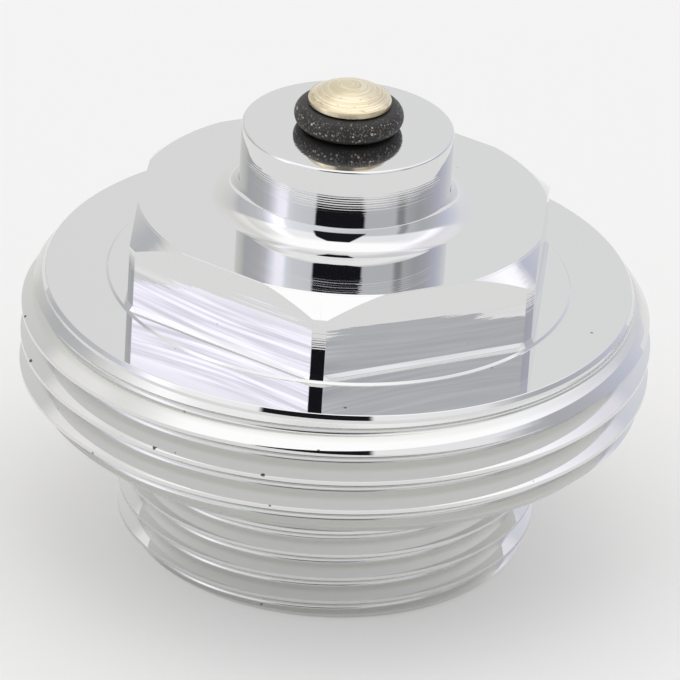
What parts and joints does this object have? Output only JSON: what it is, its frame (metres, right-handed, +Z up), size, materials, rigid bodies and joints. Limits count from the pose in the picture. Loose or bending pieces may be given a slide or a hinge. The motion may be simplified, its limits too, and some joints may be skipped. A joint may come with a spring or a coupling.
{
  "type": "radiator valve adapter",
  "caption": "Plated adapter with a threaded disc, spanner hexagon, boss and lower thread, through which a domed push pin slides with a sealing ring.",
  "frame": {"origin": "centre of the lower thread's bottom face, on the axis of the part", "axes": "+Z up along the common axis of both threads, towards the domed end of the pin; -Y towards the front of the picture"},
  "size_m": [0.03, 0.03, 0.0235],
  "materials": {
    "plated_body": "bright plating over turned metal, with fine turning marks on the boss and long tool marks on the flats",
    "brass_pin": "bare brass with turned rings on the dome",
    "seal_rubber": "matt black with pale dust specks"
  },
  "bodies": {
    "fitting": {"body": "plated_body"},
    "plunger": {"push_pin": "brass_pin", "sealing_ring": "seal_rubber"}
  },
  "joints": [
    {"name": "pin_slide", "type": "slide", "parent": "fitting", "child": "plunger", "axis": [0, 0, 1], "range_m": [0, 0.004]}
  ]
}
